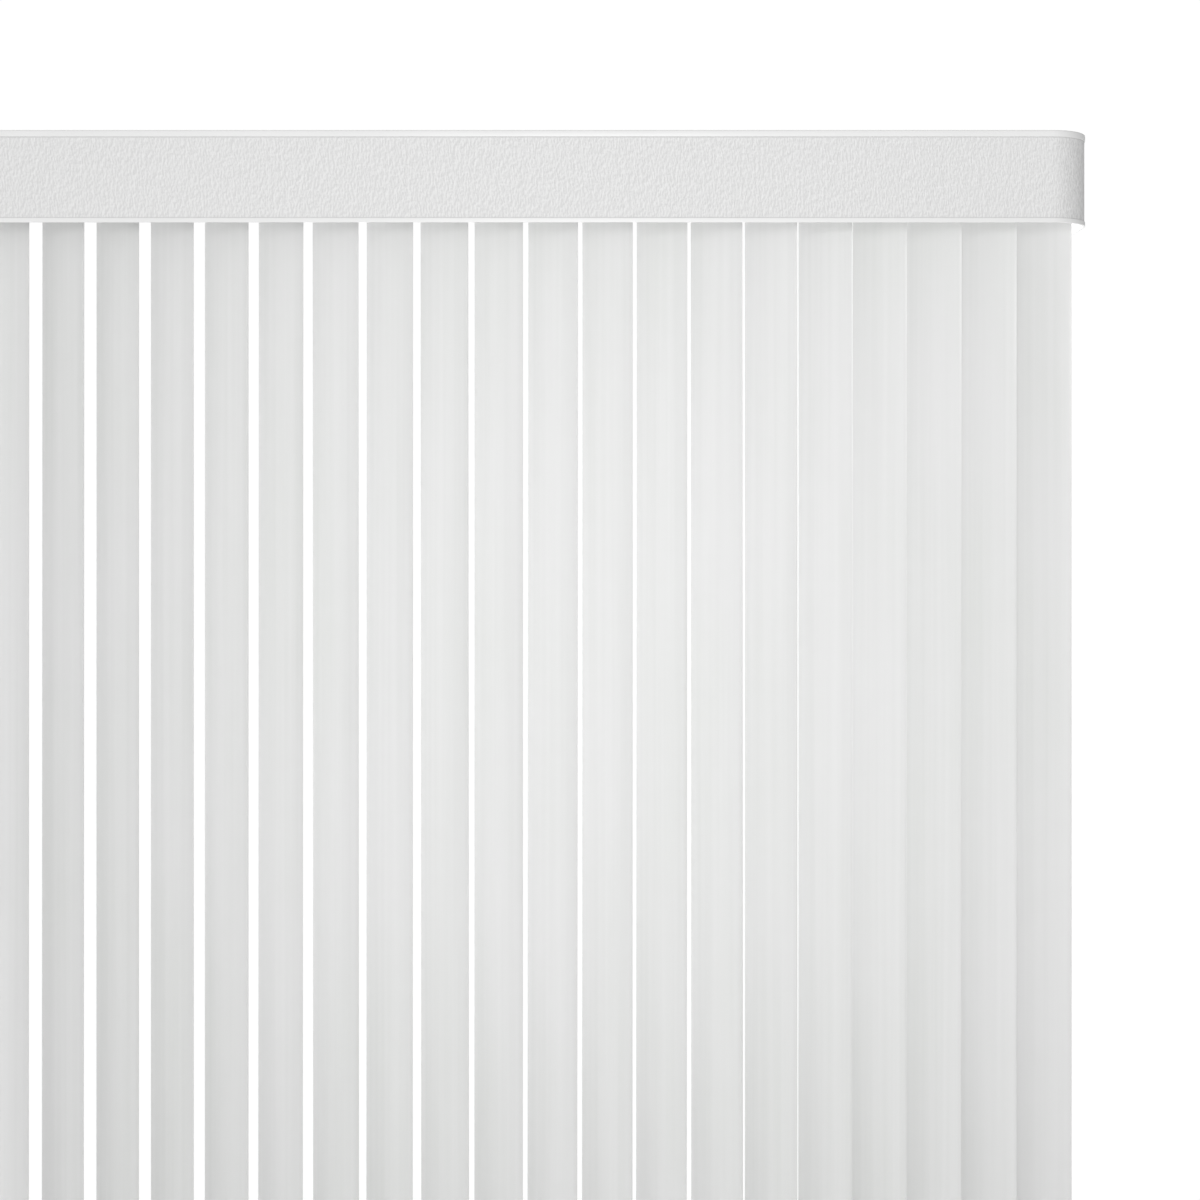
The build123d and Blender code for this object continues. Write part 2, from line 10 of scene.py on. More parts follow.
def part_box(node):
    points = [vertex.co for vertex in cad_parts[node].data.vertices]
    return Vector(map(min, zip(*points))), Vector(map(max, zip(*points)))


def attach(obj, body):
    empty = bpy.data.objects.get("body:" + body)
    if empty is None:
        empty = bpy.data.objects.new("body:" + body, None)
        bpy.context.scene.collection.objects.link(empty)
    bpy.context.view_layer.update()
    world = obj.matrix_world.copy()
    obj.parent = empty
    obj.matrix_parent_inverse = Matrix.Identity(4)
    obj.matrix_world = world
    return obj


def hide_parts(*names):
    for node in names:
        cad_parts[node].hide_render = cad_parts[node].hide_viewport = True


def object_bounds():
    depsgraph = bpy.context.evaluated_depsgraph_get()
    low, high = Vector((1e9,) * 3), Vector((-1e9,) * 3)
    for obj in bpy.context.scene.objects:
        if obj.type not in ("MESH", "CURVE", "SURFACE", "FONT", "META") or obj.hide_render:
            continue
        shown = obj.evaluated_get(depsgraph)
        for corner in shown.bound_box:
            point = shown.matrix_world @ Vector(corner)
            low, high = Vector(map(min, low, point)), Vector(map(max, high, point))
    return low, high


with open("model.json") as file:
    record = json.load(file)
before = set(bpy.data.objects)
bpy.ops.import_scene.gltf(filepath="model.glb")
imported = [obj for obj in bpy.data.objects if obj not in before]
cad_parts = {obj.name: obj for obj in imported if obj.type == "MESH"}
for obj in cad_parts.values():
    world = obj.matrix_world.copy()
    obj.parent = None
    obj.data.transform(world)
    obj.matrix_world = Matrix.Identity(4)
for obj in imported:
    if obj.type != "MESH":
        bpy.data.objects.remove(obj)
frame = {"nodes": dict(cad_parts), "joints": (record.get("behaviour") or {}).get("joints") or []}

# Looks for a vertical blind: curved PVC vanes on a headrail, behind a valance with a grained
# insert. Metres, +Z up, the room at -Y, the wall plane at Y = 0.

cad_low, cad_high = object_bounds()
MM = 0.001

# ------------------------------------------------------------------ sizes not in the frame
VANE_THICKNESS = 0.8 * MM
VANE_CORNER = 2.5 * MM
VANE_CORNER_STEPS = 4
VANE_COLUMNS = 20
VANE_ROW = 60 * MM  # height of one row of faces
VANE_DIFFUSION = 2.0 * MM  # how far light travels inside the PVC
TILT_SPREAD = 0.8  # degrees, the most by which a vane's tilt strays from the CAD vane's
LEAN_SPREAD = 2.2 * MM  # the most by which a vane's foot leans along its own chord
HOLE_WIDTH = 7.0 * MM
HOLE_HEIGHT = 5.5 * MM
HOLE_CORNER = 1.4 * MM
HOLE_CORNER_STEPS = 3
HOLE_DEPTH = 9.0 * MM  # vane's top to the middle of its hole
STEM_REACH = 20 * MM  # nothing of a stem is further from its axis

# The valance: depths are measured inwards from its outer face.
VALANCE_CORNER = 58.0 * MM  # outer radius of its two ends, seen from above
CORNER_STEPS = 28
FACE_TRIM = 1.0 * MM  # thickness of the two trims that hold the strip
GROOVE_BACK = 2.0 * MM  # back of the strip's groove
CHANNEL_DEPTH = 3.2 * MM  # back of the channel
WEB = 1.2 * MM
TOP_TRIM = 9.5 * MM
BOTTOM_TRIM = 6.5 * MM
TRIM_ROUND = 0.45 * MM
CREST_ROUND = 2.2 * MM  # the outer top edge, which rolls back out of the light
HOOK_INSIDE = 5.4 * MM  # the lips of the clips' hooks lie between these two
HOOK_OUTSIDE = 6.4 * MM
HOOK_HEIGHT = 3.3 * MM
UPPER_HOOK = 7.7 * MM  # valance's top to the underside of the upper hook's web
LOWER_HOOK = 66.3 * MM  # and to the upper side of the lower hook's web
INSERT_OUTSIDE = 1.1 * MM
INSERT_THICKNESS = 0.8 * MM
DARK_UNDER_TOP = 1.2 * MM  # the strip has a painted shadow for this far under the top trim
DARK_OVER_BOTTOM = 0.4 * MM  # and for this far over the bottom trim
DARK_FADE = 1.0 * MM  # and that painted shadow fades out over this much more

SLEEVE_LENGTH = 11.0 * MM
SLEEVE_BORE = 3.05 * MM
SLEEVE_ROOT = 3.3 * MM
SLEEVE_TIP = 3.6 * MM
SLEEVE_STARTS = 4
SLEEVE_LEAD = 12.0 * MM
SLEEVE_TURNS = 32
SLEEVE_RINGS = 16

# The space in which the carriers' material shows steel. Every spacer link lies in it, apart from
# the ear that its post hides.
LINK_FORWARD = 8.0 * MM  # from the vane axes to the middle of the space
LINK_HALF_WIDTH = 4.8 * MM
LINK_LOW = 7.6 * MM
LINK_HIGH = 10.9 * MM

SMOOTH_ANGLE = 35  # degrees; sharper edges stay sharp
RIM_ANGLE = 60  # degrees; a vane's edges sharper than this are rounded
STEM_FLAT = 1  # degrees between a stem's faces that are merged
SHEET_FLAT = 0.001  # radians between a flat sheet's faces that are merged
TINY = 1e-6

# ------------------------------------------------------------------ studio
FLOOR_RADIUS = 1.45
FLOOR_CENTRE_Y = -0.1
FLOOR_GAP = 13 * MM  # from the vanes' feet down to the floor
SKY_FALL = (0.75, 0.0, 0.66)  # towards the upper right the surround gives less light
SKY_SPAN = (-0.2, 1.0)  # how far along SKY_FALL a direction lies where that starts and ends
SKY_LIGHT = (0.95, 0.2)  # the surround's strength as a light at those two
SKY_SEEN = 1.02  # its strength where the camera sees it
KEY_PLACE = (0.1, -2.7, 0.1)
KEY_TARGET = (0.15, -0.1, -0.3)
KEY_SIZE = (0.8, 0.6)
KEY_POWER = 12.6
WINDOW_PLACE = (0.2, 0.6, -0.72)
WINDOW_TARGET = (0.2, 0, -0.72)
WINDOW_SIZE = (1.35, 1.5)
WINDOW_POWER = 10
CAMERA_PLACE = (0.1124, -3.262, -0.564)
CAMERA_SHIFT = -0.05
LENS = 65.4
SENSOR_WIDTH = 36
SEED = 7

vane_count = sum(1 for name in frame["nodes"] if name.startswith("vane_"))
joints = {joint["name"]: joint for joint in frame["joints"]}
chance = random.Random(SEED)


# ------------------------------------------------------------------ material graphs
class Graph:
    """The nodes of one material, round its Principled shader."""

    def __init__(self, name, color, roughness, **sockets):
        self.material = bpy.data.materials.new(name)
        self.material.use_nodes = True
        self.nodes = self.material.node_tree.nodes
        self.links = self.material.node_tree.links
        self.shader = self.nodes["Principled BSDF"]
        self.shader.inputs["Base Color"].default_value = (*color, 1)
        self.shader.inputs["Roughness"].default_value = roughness
        for key, value in sockets.items():
            self.shader.inputs[key.replace("_", " ")].default_value = value

    def add(self, kind, inputs, **settings):
        """A node's first output; each input is a socket to link or a value to set."""
        node = self.nodes.new(kind)
        for key, value in settings.items():
            setattr(node, key, value)
        for key, value in inputs.items():
            if isinstance(value, bpy.types.NodeSocket):
                self.links.new(value, node.inputs[key])
            else:
                node.inputs[key].default_value = value
        return node.outputs[0]

    def place(self, scale, turn=(0, 0, 0), shift=(0, 0, 0)):
        """Object coordinates, scaled, turned by degrees and shifted."""
        coordinates = self.nodes.new("ShaderNodeTexCoord").outputs["Object"]
        angles = [math.radians(angle) for angle in turn]
        sockets = {"Vector": coordinates, "Rotation": angles, "Scale": scale, "Location": shift}
        return self.add("ShaderNodeMapping", sockets)

    def noise(self, scale, detail=3.0, turn=(0, 0, 0), distortion=0.0, shift=(0, 0, 0)):
        place = self.place(scale, turn, shift)
        sockets = {"Vector": place, "Scale": 1.0, "Detail": detail, "Distortion": distortion}
        return self.add("ShaderNodeTexNoise", sockets)

    def cells(self, scale, turn=(0, 0, 0), feature="F1"):
        sockets = {"Vector": self.place(scale, turn), "Scale": 1.0}
        return self.add("ShaderNodeTexVoronoi", sockets, feature=feature)

    def math(self, operation, first, second=0.0):
        return self.add("ShaderNodeMath", {0: first, 1: second}, operation=operation)

    def ranged(self, value, low, high, to_low, to_high):
        """A value that goes from to_low to to_high as another goes from low to high."""
        sockets = {
            "Value": value, "From Min": low, "From Max": high, "To Min": to_low, "To Max": to_high,
        }
        return self.add("ShaderNodeMapRange", sockets)

    def between(self, value, low, high):
        """1 where a value lies between two others, and 0 elsewhere."""
        over = self.math("GREATER_THAN", value, low)
        return self.math("MULTIPLY", over, self.math("LESS_THAN", value, high))

    def mixed(self, factor, first, second):
        """A colour between two, each an RGB triple or a socket."""
        node = self.nodes.new("ShaderNodeMix")
        node.data_type = "RGBA"
        self.links.new(factor, node.inputs[0])
        for slot, value in ((6, first), (7, second)):
            if isinstance(value, bpy.types.NodeSocket):
                self.links.new(value, node.inputs[slot])
            else:
                node.inputs[slot].default_value = (*value, 1)
        return node.outputs[2]

    def along(self, axis):
        """How far along one axis of the object coordinates, in metres."""
        coordinates = self.nodes.new("ShaderNodeTexCoord").outputs["Object"]
        node = self.nodes.new("ShaderNodeSeparateXYZ")
        self.links.new(coordinates, node.inputs[0])
        return node.outputs[axis]

    def paint(self, color, roughness=None, metallic=None, *, relief, strength, distance):
        """Links what varies over the surface to the shader; distance is the bump's height in mm."""
        for key, socket in (("Base Color", color), ("Roughness", roughness), ("Metallic", metallic)):
            if socket is not None:
                self.links.new(socket, self.shader.inputs[key])
        sockets = {"Height": relief, "Strength": strength, "Distance": distance * MM}
        self.links.new(self.add("ShaderNodeBump", sockets), self.shader.inputs["Normal"])
        return self.material


def shade(color, factor):
    return tuple(channel * factor for channel in color)


# ------------------------------------------------------------------ materials
def vane_material():
    """Calendered PVC that lets light through: faint lines along the sheet, slow drifts of tint."""
    graph = Graph(
        "vane_pvc", (0.88, 0.88, 0.88), 0.34, Coat_Weight=0.12, Coat_Roughness=0.2,
        Subsurface_Weight=1.0, Subsurface_Radius=(1.0, 1.0, 1.0), Subsurface_Scale=VANE_DIFFUSION,
    )
    streaks = graph.noise((110, 110, 1.1), detail=3)
    drift = graph.ranged(graph.noise((6, 6, 2.2), detail=2), 0.35, 0.7, 0, 1)
    tinted = graph.mixed(drift, (0.677, 0.678, 0.677), (0.657, 0.664, 0.655))
    color = graph.mixed(graph.ranged(streaks, 0.3, 0.7, 0, 0.5), tinted, (0.720, 0.720, 0.720))
    gloss = graph.ranged(graph.noise((40, 40, 6)), 0.3, 0.7, 0.29, 0.40)
    return graph.paint(color, gloss, relief=streaks, strength=0.12, distance=0.12)


def trim_material():
    """Satin extruded PVC, with the die's fine lines along it and a faint cloudiness."""
    graph = Graph("valance_pvc", (0.85, 0.85, 0.848), 0.34, Coat_Weight=0.12, Coat_Roughness=0.2)
    lines = graph.noise((1.5, 1.5, 1900), detail=2)
    cloud = graph.ranged(graph.noise((12, 12, 30)), 0.35, 0.65, 0, 1)
    color = graph.mixed(cloud, (0.885, 0.886, 0.884), (0.905, 0.905, 0.903))
    gloss = graph.ranged(lines, 0.3, 0.7, 0.3, 0.42)
    return graph.paint(color, gloss, relief=lines, strength=0.08, distance=0.05)


def insert_material():
    """Embossed PVC strip: a leather grain of short, steep, slanting wrinkles.

    The wrinkles have painted light on their crests and right flanks, and the strip has painted
    shadow in two lines where it goes under the trims.
    """
    graph = Graph("insert_pvc", (0.735, 0.735, 0.733), 0.46)
    slant = (0, -14, 0)
    wrinkle_scale = (440, 440, 155)
    wrinkles = graph.noise(wrinkle_scale, detail=2, turn=slant, distortion=0.6)
    beside = graph.noise(wrinkle_scale, detail=2, turn=slant, distortion=0.6, shift=(1.0, 0, 0))
    pebbles = graph.cells((360, 360, 160), turn=slant, feature="SMOOTH_F1")
    pores = graph.noise((900, 900, 500), detail=2)
    coarse = graph.math("MULTIPLY", wrinkles, 1.3)
    grain = graph.math("ADD", coarse, graph.math("MULTIPLY", pebbles, 0.6))
    relief = graph.math("ADD", grain, graph.math("MULTIPLY", pores, 0.12))
    # Painted light: a wrinkle minus a shifted copy of itself gives one lit flank and one shaded flank,
    # as a light from the side would.
    flanks = graph.math("SUBTRACT", wrinkles, beside)
    painted_relief_light = graph.math("ADD", flanks, graph.math("MULTIPLY", grain, 0.2))
    painted_light_share = graph.ranged(painted_relief_light, -0.01, 0.39, 0, 1)
    # Painted light and shade: lit crests and flanks take the light tone, shaded valleys the dark tone.
    grain_and_painted_light = graph.mixed(painted_light_share, (0.755, 0.755, 0.754), (0.892, 0.892, 0.891))
    level = graph.along("Z")
    low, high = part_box("valance_channel")
    # Painted shadow: the strip is darkened in a line just under the top trim and just over the bottom
    # trim, where the trims shade its groove.
    upper_line = high.z - TOP_TRIM - DARK_UNDER_TOP
    lower_line = low.z + BOTTOM_TRIM + DARK_OVER_BOTTOM
    painted_shadow_under_top = graph.ranged(level, upper_line - DARK_FADE, upper_line, 0, 1)
    painted_shadow_over_bottom = graph.ranged(level, lower_line, lower_line + DARK_FADE, 1, 0)
    painted_groove_shadow = graph.math("MAXIMUM", painted_shadow_under_top, painted_shadow_over_bottom)
    # Painted shadow: the grey tone that these lines take.
    color = graph.mixed(painted_groove_shadow, grain_and_painted_light, (0.70, 0.70, 0.698))
    gloss = graph.ranged(grain, 0.6, 1.3, 0.55, 0.4)
    return graph.paint(color, gloss, relief=relief, strength=0.85, distance=0.7)


def lacquered_material():
    """White lacquer on extruded aluminium, with faint lines along X."""
    graph = Graph("rail_white", (0.86, 0.86, 0.85), 0.32, Coat_Weight=0.2)
    lines = graph.noise((1.2, 900, 900), detail=3)
    dust = graph.ranged(graph.noise((60, 60, 60)), 0.4, 0.75, 0, 1)
    color = graph.mixed(dust, (0.86, 0.86, 0.85), (0.82, 0.82, 0.805))
    gloss = graph.ranged(lines, 0.3, 0.7, 0.27, 0.4)
    return graph.paint(color, gloss, relief=lines, strength=0.08, distance=0.05)


def drawn_metal(name, color, roughness, scratches):
    """Drawn or rolled metal, scratched along the axis on which the scratches' scale is small."""
    graph = Graph(name, color, roughness, Metallic=1.0)
    lines = graph.noise(scratches, detail=4)
    tone = graph.mixed(graph.ranged(lines, 0.3, 0.7, 0, 1), shade(color, 0.9), color)
    gloss = graph.ranged(lines, 0.3, 0.7, roughness - 0.07, roughness + 0.1)
    return graph.paint(tone, gloss, relief=lines, strength=0.15, distance=0.04)


def threaded_metal(name, axis, pitch):
    """Zinc plate: a mottled blue-grey, with the thread's turns along one axis."""
    color = (0.70, 0.71, 0.73)
    roughness = 0.3
    graph = Graph(name, color, roughness, Metallic=1.0)
    mottle = graph.cells((700, 700, 700))
    tone = graph.mixed(graph.ranged(mottle, 0.1, 0.7, 0, 1), color, shade(color, 0.82))
    phase = graph.math("MULTIPLY", graph.along(axis), 2 * math.pi / pitch)
    turns = graph.math("SINE", phase)
    gloss = graph.ranged(mottle, 0, 0.8, roughness, roughness + 0.15)
    return graph.paint(tone, gloss, relief=turns, strength=0.35, distance=0.12)


def moulded_material(name, color, roughness):
    """Moulded plastic: an even tone with flow marks and a fine spark-eroded grain."""
    graph = Graph(name, color, roughness)
    flow = graph.noise((90, 90, 90), detail=2, distortion=1.2)
    grain = graph.noise((2600, 2600, 2600), detail=1)
    tone = graph.mixed(graph.ranged(flow, 0.3, 0.7, 0, 1), shade(color, 0.965), color)
    gloss = graph.ranged(grain, 0.3, 0.7, roughness - 0.05, roughness + 0.08)
    return graph.paint(tone, gloss, relief=grain, strength=0.12, distance=0.05)


def carrier_material(link_front, link_back):
    """Acetal housings; what lies between these two planes, at a link's height, is spring steel."""
    graph = Graph("acetal", (0.84, 0.84, 0.82), 0.38)
    inside = graph.between(graph.along("Y"), link_front, link_back)
    level = graph.between(graph.along("Z"), LINK_LOW, LINK_HIGH)
    steel = graph.math("MULTIPLY", inside, level)
    flow = graph.noise((110, 110, 110), detail=2, distortion=1.0)
    lines = graph.noise((8, 1400, 1400), detail=2)
    marks = graph.ranged(flow, 0.3, 0.7, 0, 1)
    plastic = graph.mixed(marks, (0.81, 0.81, 0.79), (0.85, 0.85, 0.83))
    metal = graph.mixed(lines, (0.5, 0.51, 0.52), (0.66, 0.67, 0.68))
    color = graph.mixed(steel, plastic, metal)
    gloss = graph.ranged(flow, 0.3, 0.7, 0.33, 0.43)
    return graph.paint(color, gloss, steel, relief=lines, strength=0.05, distance=0.04)


def clear_material(name, color, roughness):
    """Clear moulded plastic, with faint flow marks in its surface."""
    graph = Graph(name, color, roughness, Transmission_Weight=0.85, IOR=1.49)
    flow = graph.noise((70, 70, 12), detail=2, distortion=1.5)
    tone = graph.mixed(graph.ranged(flow, 0.3, 0.7, 0, 1), shade(color, 0.97), color)
    gloss = graph.ranged(flow, 0.3, 0.7, roughness, roughness + 0.08)
    return graph.paint(tone, gloss, relief=flow, strength=0.08, distance=0.1)


def coated_material():
    """Powder coat on pressed steel: a fine orange-peel."""
    graph = Graph("white_steel", (0.85, 0.85, 0.84), 0.42)
    peel = graph.noise((1100, 1100, 1100), detail=1)
    tone = graph.mixed(graph.noise((40, 40, 40)), (0.83, 0.83, 0.815), (0.86, 0.86, 0.85))
    gloss = graph.ranged(peel, 0.3, 0.7, 0.36, 0.5)
    return graph.paint(tone, gloss, relief=peel, strength=0.25, distance=0.08)


def floor_material():
    """Pale matt board with a slight mottle, and a faint glow that keeps it near white."""
    graph = Graph(
        "floor", (0.92, 0.92, 0.915), 0.7, Emission_Color=(1, 1, 1, 1), Emission_Strength=0.28,
    )
    mottle = graph.ranged(graph.noise((3, 3, 3), detail=5), 0.3, 0.7, 0, 1)
    tone = graph.mixed(mottle, (0.91, 0.91, 0.905), (0.94, 0.94, 0.935))
    tooth = graph.noise((300, 300, 300))
    return graph.paint(tone, relief=tooth, strength=0.05, distance=0.2)


# ------------------------------------------------------------------ mesh helpers
def add_piece(name, mesh, body, material):
    """A piece that rides on a CAD body and takes its finish from a material slot."""
    mesh.materials.clear()
    mesh.materials.append(material)
    mesh.shade_smooth()
    mesh.set_sharp_from_angle(angle=math.radians(SMOOTH_ANGLE))
    piece = bpy.data.objects.new(name, mesh)
    bpy.context.collection.objects.link(piece)
    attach(piece, body)
    return piece


def mesh_from(bm, name):
    """The mesh of a bmesh, which is freed, with its faces turned outwards."""
    mesh = bpy.data.meshes.new(name)
    bmesh.ops.recalc_face_normals(bm, faces=bm.faces)
    bm.to_mesh(mesh)
    bm.free()
    return mesh


def round_corners(width, height, radius, steps, middle):
    """The outline of a rectangle with rounded corners, as (x, z) points."""
    points = []
    for quarter, (side_x, side_z) in enumerate(((1, 1), (-1, 1), (-1, -1), (1, -1))):
        centre_x = middle[0] + side_x * (width / 2 - radius)
        centre_z = middle[1] + side_z * (height / 2 - radius)
        for step in range(steps + 1):
            angle = math.radians(90) * (quarter + step / steps)
            points.append((centre_x + radius * math.cos(angle), centre_z + radius * math.sin(angle)))
    return points


# ------------------------------------------------------------------ vanes
def vane_layout(number):
    """A vane's axis, chord direction, half chord, crown, top and foot, read from its CAD node."""
    axis = Vector(joints[f"tilt_{number:02d}"]["pos_m"])
    node = frame["nodes"][f"vane_{number:02d}"]
    sheet = [v.co for v in node.data.vertices if (v.co.xy - axis.xy).length > STEM_REACH]
    left = min(sheet, key=lambda point: point.x).xy
    right = max(sheet, key=lambda point: point.x).xy
    chord = right - left
    along = chord.normalized()
    crown = ((left + right) / 2 - axis.xy).length
    return axis, along, chord.length / 2, crown, max(p.z for p in sheet), min(p.z for p in sheet)


def flat_sheet(width, top, foot):
    """The vane before it is curved: a strip in the XZ plane with its hanger hole, cut into a grid."""
    bm = bmesh.new()
    vane_middle = (0, (top + foot) / 2)
    hole_middle = (0, top - HOLE_DEPTH)
    outlines = [
        round_corners(width, top - foot, VANE_CORNER, VANE_CORNER_STEPS, vane_middle),
        round_corners(HOLE_WIDTH, HOLE_HEIGHT, HOLE_CORNER, HOLE_CORNER_STEPS, hole_middle),
    ]
    for outline in outlines:
        corners = [bm.verts.new((x, 0, z)) for x, z in outline]
        for first, second in zip(corners, corners[1:] + corners[:1]):
            bm.edges.new((first, second))
    bmesh.ops.triangle_fill(bm, use_beauty=True, edges=bm.edges[:])
    for column in range(1, VANE_COLUMNS):
        cut(bm, (width * (column / VANE_COLUMNS - 0.5), 0, 0), (1, 0, 0))
    rows = int((top - foot) / VANE_ROW)
    for row in range(1, rows):
        cut(bm, (0, 0, foot + (top - foot) * row / rows), (0, 0, 1))
    bmesh.ops.dissolve_limit(bm, angle_limit=SHEET_FLAT, verts=[], edges=inner_diagonals(bm))
    return bm


def cut(bm, point, normal):
    """Adds edges where a plane crosses the faces."""
    everything = bm.verts[:] + bm.edges[:] + bm.faces[:]
    bmesh.ops.bisect_plane(bm, geom=everything, plane_co=point, plane_no=normal)


def inner_diagonals(bm):
    """Edges that run along neither axis, with a face on both sides."""
    found = []
    for edge in bm.edges:
        run = edge.verts[1].co - edge.verts[0].co
        if len(edge.link_faces) == 2 and abs(run.x) > TINY and abs(run.z) > TINY:
            found.append(edge)
    return found


def add_vane(number, material):
    """A thin arc of PVC on its own tilt and lean, which stands for the CAD vane."""
    axis, along, half_chord, crown, top, foot = vane_layout(number)
    radius = (half_chord**2 + crown**2) / (2 * crown)
    reach = math.asin(half_chord / radius) * radius
    tilt = math.radians(chance.uniform(-TILT_SPREAD, TILT_SPREAD))
    lean = chance.uniform(-LEAN_SPREAD, LEAN_SPREAD)
    turned = Matrix.Rotation(tilt, 2) @ along
    behind = Vector((-turned.y, turned.x))
    bm = flat_sheet(2 * reach, top, foot)
    for vertex in bm.verts:
        angle = vertex.co.x / radius
        depth = (top - vertex.co.z) / (top - foot)
        across = radius * math.sin(angle) + lean * depth
        back = radius * (1 - math.cos(angle))
        place = axis.xy + turned * across + behind * back
        vertex.co = (place.x, place.y, vertex.co.z)
    name = f"vane_sheet_{number:02d}"
    vane = add_piece(name, mesh_from(bm, name), f"vane_{number:02d}", material)
    shell = vane.modifiers.new("thickness", "SOLIDIFY")
    shell.thickness = VANE_THICKNESS
    shell.offset = 0
    shell.use_even_offset = True
    edge = vane.modifiers.new("edge", "BEVEL")
    edge.width = VANE_THICKNESS / 4
    edge.segments = 2
    edge.limit_method = "ANGLE"
    edge.angle_limit = math.radians(RIM_ANGLE)
    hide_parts(f"vane_{number:02d}")


def islands_of(bm):
    """The separate shells of a mesh, as sets of vertices."""
    left = set(bm.verts)
    found = []
    while left:
        island = set()
        waiting = [left.pop()]
        while waiting:
            vertex = waiting.pop()
            island.add(vertex)
            for link in vertex.link_edges:
                other = link.other_vert(vertex)
                if other in left:
                    left.discard(other)
                    waiting.append(other)
        found.append(island)
    return found


def add_stem(number, material):
    """The stem that the vane hangs on: the CAD vane's mesh without its sheet."""
    axis = Vector(joints[f"tilt_{number:02d}"]["pos_m"])
    bm = bmesh.new()
    bm.from_mesh(frame["nodes"][f"vane_{number:02d}"].data)
    bmesh.ops.remove_doubles(bm, verts=bm.verts[:], dist=TINY)
    for island in islands_of(bm):
        if max((v.co.xy - axis.xy).length for v in island) > STEM_REACH:
            bmesh.ops.delete(bm, geom=list(island), context="VERTS")
    flat = math.radians(STEM_FLAT)
    bmesh.ops.dissolve_limit(bm, angle_limit=flat, verts=bm.verts[:], edges=bm.edges[:])
    name = f"vane_stem_{number:02d}"
    add_piece(name, mesh_from(bm, name), f"vane_{number:02d}", material)


# ------------------------------------------------------------------ valance
def valance_plan(inset, low, high):
    """The line that the valance follows in plan, shrunk by inset, from wall to wall."""
    centres = [(low.x + VALANCE_CORNER, math.pi), (high.x - VALANCE_CORNER, 1.5 * math.pi)]
    points = [(low.x + inset, high.y)]
    for centre_x, start in centres:
        for step in range(CORNER_STEPS + 1):
            angle = start + math.radians(90) * step / CORNER_STEPS
            reach = VALANCE_CORNER - inset
            centre_y = low.y + VALANCE_CORNER
            points.append((centre_x + reach * math.cos(angle), centre_y + reach * math.sin(angle)))
    points.append((high.x - inset, high.y))
    return points


def sweep_band(name, profile, low, high):
    """A closed profile of (inset, height) points, swept round the valance and capped at the wall."""
    bm = bmesh.new()
    rails = []
    for inset, height in profile:
        rails.append([bm.verts.new((x, y, height)) for x, y in valance_plan(inset, low, high)])
    for first, second in zip(rails, rails[1:] + rails[:1]):
        for step in range(len(first) - 1):
            bm.faces.new((first[step], first[step + 1], second[step + 1], second[step]))
    bm.faces.new([rail[0] for rail in rails])
    bm.faces.new([rail[-1] for rail in reversed(rails)])
    return mesh_from(bm, name)


def rounded(points):
    """A profile from points (inset, height, radius), each corner with a radius being rounded."""
    profile = []
    for index, (inset, height, radius) in enumerate(points):
        here = Vector((inset, height))
        if not radius:
            profile.append((inset, height))
            continue
        before = (Vector(points[index - 1][:2]) - here).normalized() * radius
        after = (Vector(points[(index + 1) % len(points)][:2]) - here).normalized() * radius
        for share in (0.0, 0.25, 0.5, 0.75, 1.0):
            corner = here + before * (1 - share) ** 2 + after * share**2
            profile.append((corner.x, corner.y))
    return profile


def add_valance(trim, grain_and_painted_light):
    """The extruded channel, with rounded trims and the clips' hooks, and the strip in its groove."""
    low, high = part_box("valance_channel")
    top = high.z
    bottom = low.z
    upper = top - UPPER_HOOK
    lower = top - LOWER_HOOK
    profile = rounded([
        (0, top, CREST_ROUND),
        (0, top - TOP_TRIM, TRIM_ROUND),
        (FACE_TRIM, top - TOP_TRIM, 0),
        (FACE_TRIM, top - WEB, 0),
        (GROOVE_BACK, top - WEB, 0),
        (GROOVE_BACK, bottom + WEB, 0),
        (FACE_TRIM, bottom + WEB, 0),
        (FACE_TRIM, bottom + BOTTOM_TRIM, 0),
        (0, bottom + BOTTOM_TRIM, TRIM_ROUND),
        (0, bottom, TRIM_ROUND),
        (CHANNEL_DEPTH, bottom, TRIM_ROUND),
        (CHANNEL_DEPTH, lower - WEB, 0),
        (HOOK_OUTSIDE, lower - WEB, 0),
        (HOOK_OUTSIDE, lower - WEB + HOOK_HEIGHT, 0),
        (HOOK_INSIDE, lower - WEB + HOOK_HEIGHT, 0),
        (HOOK_INSIDE, lower, 0),
        (CHANNEL_DEPTH, lower, 0),
        (CHANNEL_DEPTH, upper, 0),
        (HOOK_INSIDE, upper, 0),
        (HOOK_INSIDE, upper + WEB - HOOK_HEIGHT, 0),
        (HOOK_OUTSIDE, upper + WEB - HOOK_HEIGHT, 0),
        (HOOK_OUTSIDE, upper + WEB, 0),
        (CHANNEL_DEPTH, upper + WEB, 0),
        (CHANNEL_DEPTH, top, TRIM_ROUND),
    ])
    channel = add_piece(
        "valance_extrusion", sweep_band("valance_extrusion", profile, low, high),
        "headrail_assembly", trim,
    )
    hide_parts("valance_channel")
    insert_low, insert_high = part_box("valance_insert")
    strip_back = INSERT_OUTSIDE + INSERT_THICKNESS
    strip = [
        (INSERT_OUTSIDE, insert_high.z), (INSERT_OUTSIDE, insert_low.z),
        (strip_back, insert_low.z), (strip_back, insert_high.z),
    ]
    insert = add_piece(
        "valance_strip", sweep_band("valance_strip", strip, low, high),
        "headrail_assembly", grain_and_painted_light,
    )
    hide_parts("valance_insert")


# ------------------------------------------------------------------ worm sleeves
def sleeve_ring(bm, x, middle, radii):
    """One ring of vertices round the tilt rod, with a radius for each step of the turn."""
    ring = []
    for turn, radius in enumerate(radii):
        angle = 2 * math.pi * turn / SLEEVE_TURNS
        y = middle.y + radius * math.cos(angle)
        z = middle.z + radius * math.sin(angle)
        ring.append(bm.verts.new((x, y, z)))
    return ring


